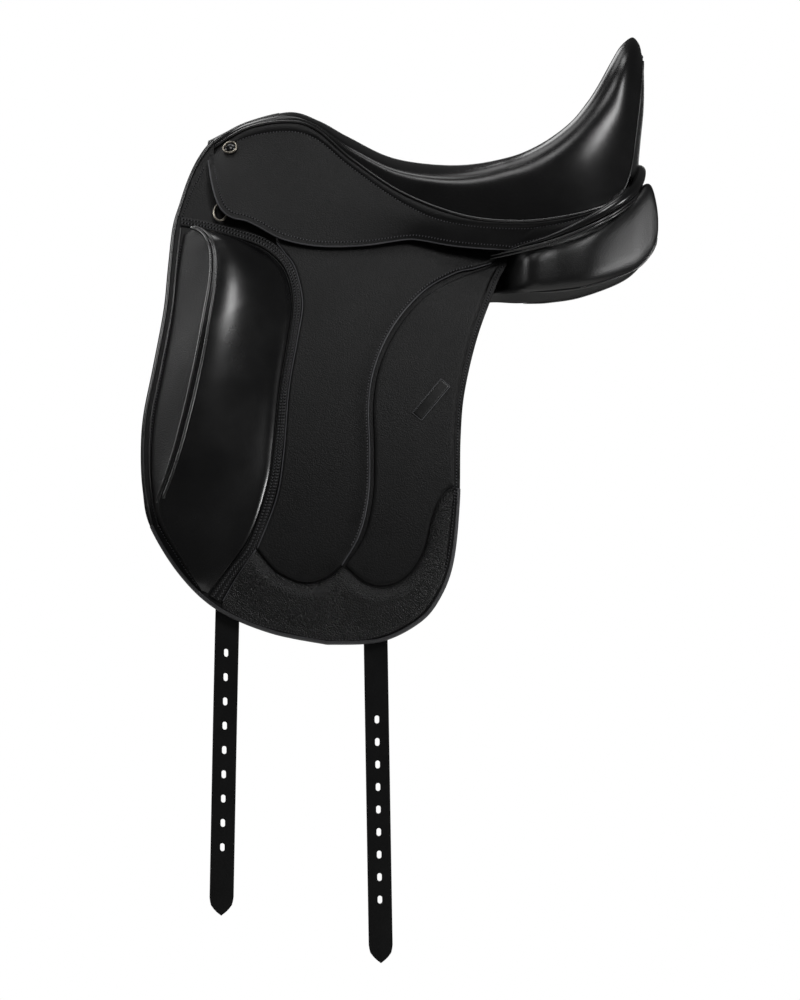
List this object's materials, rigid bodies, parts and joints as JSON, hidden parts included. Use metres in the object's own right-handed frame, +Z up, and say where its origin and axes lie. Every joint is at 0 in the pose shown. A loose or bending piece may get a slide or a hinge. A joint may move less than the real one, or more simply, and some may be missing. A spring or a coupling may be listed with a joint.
{
  "type": "dressage saddle",
  "caption": "Black leather riding saddle with a deep seat, high cantle, long straight flaps with knee blocks, stuffed panels and hanging girth straps.",
  "frame": {"origin": "on the middle plane, below the deepest part of the seat and level with the underside of the panels, where the saddle meets the horse", "axes": "+X to the rear, +Y to the rider's right, +Z up"},
  "size_m": [0.5387, 0.4678, 0.9658],
  "materials": {
    "black_leather": "fine grain, satin",
    "grain_leather": "coarse grain, matt",
    "stuffed_leather": "smooth black leather over foam or flock",
    "foam": "foam",
    "beech": "bare",
    "steel": "plain",
    "nickel": "nickel plated",
    "web_cloth": "woven tape"
  },
  "bodies": {
    "saddle": {"tree": "beech", "gullet_plate": "steel", "gullet_rivets": "steel", "seat_webs": "web_cloth", "seat_foam": "foam", "seat_cover": "black_leather", "cantle_facing": "black_leather", "cantle_roll": "black_leather", "pommel_facing": "black_leather", "seat_welt_left": "black_leather", "seat_welt_right": "black_leather", "head_stud_left": "nickel", "head_stud_right": "nickel", "skirt_top_left": "black_leather", "skirt_top_right": "black_leather", "flap_top_left": "black_leather", "flap_top_right": "black_leather", "sweat_flap_left": "black_leather", "sweat_flap_right": "black_leather", "girth_webs_left": "web_cloth", "girth_webs_right": "web_cloth", "panel_left": "stuffed_leather", "panel_right": "stuffed_leather", "panel_piping_left": "black_leather", "panel_piping_right": "black_leather", "stirrup_bar_left": "steel", "stirrup_bar_right": "steel", "catch_pin_left": "steel", "catch_pin_right": "steel", "dee_chape_left": "black_leather", "dee_chape_right": "black_leather"},
    "flap_left": {"flap_left": "black_leather", "flap_mid_panel_left": "black_leather", "flap_rear_panel_left": "black_leather", "flap_patch_left": "grain_leather", "flap_binding_left": "black_leather", "flap_tab_left": "grain_leather", "knee_block_left": "stuffed_leather", "block_piping_left": "black_leather"},
    "skirt_left": {"skirt_left": "black_leather"},
    "dee_left": {"dee_ring_left": "nickel"},
    "catch_left": {"bar_catch_left": "steel"},
    "billet_front_left": {"billet_front_left": "black_leather"},
    "billet_rear_left": {"billet_rear_left": "black_leather"},
    "flap_right": {"flap_right": "black_leather", "flap_mid_panel_right": "black_leather", "flap_rear_panel_right": "black_leather", "flap_patch_right": "grain_leather", "flap_binding_right": "black_leather", "flap_tab_right": "grain_leather", "knee_block_right": "stuffed_leather", "block_piping_right": "black_leather"},
    "skirt_right": {"skirt_right": "black_leather"},
    "dee_right": {"dee_ring_right": "nickel"},
    "catch_right": {"bar_catch_right": "steel"},
    "billet_front_right": {"billet_front_right": "black_leather"},
    "billet_rear_right": {"billet_rear_right": "black_leather"}
  },
  "joints": [
    {"name": "flap_lift_left", "type": "hinge", "parent": "saddle", "child": "flap_left", "pos_m": [-0.3, -0.108, 0.068], "axis": [-0.9929, 0, 0.1191], "range_deg": [0, 36]},
    {"name": "skirt_lift_left", "type": "hinge", "parent": "saddle", "child": "skirt_left", "pos_m": [-0.266, -0.07138, 0.141], "axis": [-0.9458, 0.1619, 0.2817], "range_deg": [0, 80]},
    {"name": "dee_swing_left", "type": "hinge", "parent": "saddle", "child": "dee_left", "pos_m": [-0.25103, -0.09551, 0.09417], "axis": [-0.9929, 0, 0.1191], "range_deg": [0, 14]},
    {"name": "catch_flip_left", "type": "hinge", "parent": "saddle", "child": "catch_left", "pos_m": [-0.129, -0.074, 0.093], "axis": [0, -1, 0], "range_deg": [0, 80]},
    {"name": "billet_front_swing_left", "type": "hinge", "parent": "saddle", "child": "billet_front_left", "pos_m": [-0.23949, -0.09199, 0.07], "axis": [0, -1, 0], "range_deg": [-4, 4]},
    {"name": "billet_rear_swing_left", "type": "hinge", "parent": "saddle", "child": "billet_rear_left", "pos_m": [-0.09009, -0.09308, 0.05], "axis": [0, -1, 0], "range_deg": [-4, 4]},
    {"name": "flap_lift_right", "type": "hinge", "parent": "saddle", "child": "flap_right", "pos_m": [-0.3, 0.108, 0.068], "axis": [0.9929, 0, -0.1191], "range_deg": [0, 36]},
    {"name": "skirt_lift_right", "type": "hinge", "parent": "saddle", "child": "skirt_right", "pos_m": [-0.266, 0.07138, 0.141], "axis": [0.9458, 0.1619, -0.2817], "range_deg": [0, 80]},
    {"name": "dee_swing_right", "type": "hinge", "parent": "saddle", "child": "dee_right", "pos_m": [-0.25103, 0.09551, 0.09417], "axis": [0.9929, 0, -0.1191], "range_deg": [0, 14]},
    {"name": "catch_flip_right", "type": "hinge", "parent": "saddle", "child": "catch_right", "pos_m": [-0.129, 0.074, 0.093], "axis": [0, -1, 0], "range_deg": [0, 80]},
    {"name": "billet_front_swing_right", "type": "hinge", "parent": "saddle", "child": "billet_front_right", "pos_m": [-0.25644, 0.09305, 0.07], "axis": [0, -1, 0], "range_deg": [-4, 4]},
    {"name": "billet_rear_swing_right", "type": "hinge", "parent": "saddle", "child": "billet_rear_right", "pos_m": [-0.09274, 0.09324, 0.05], "axis": [0, -1, 0], "range_deg": [-4, 4]}
  ]
}
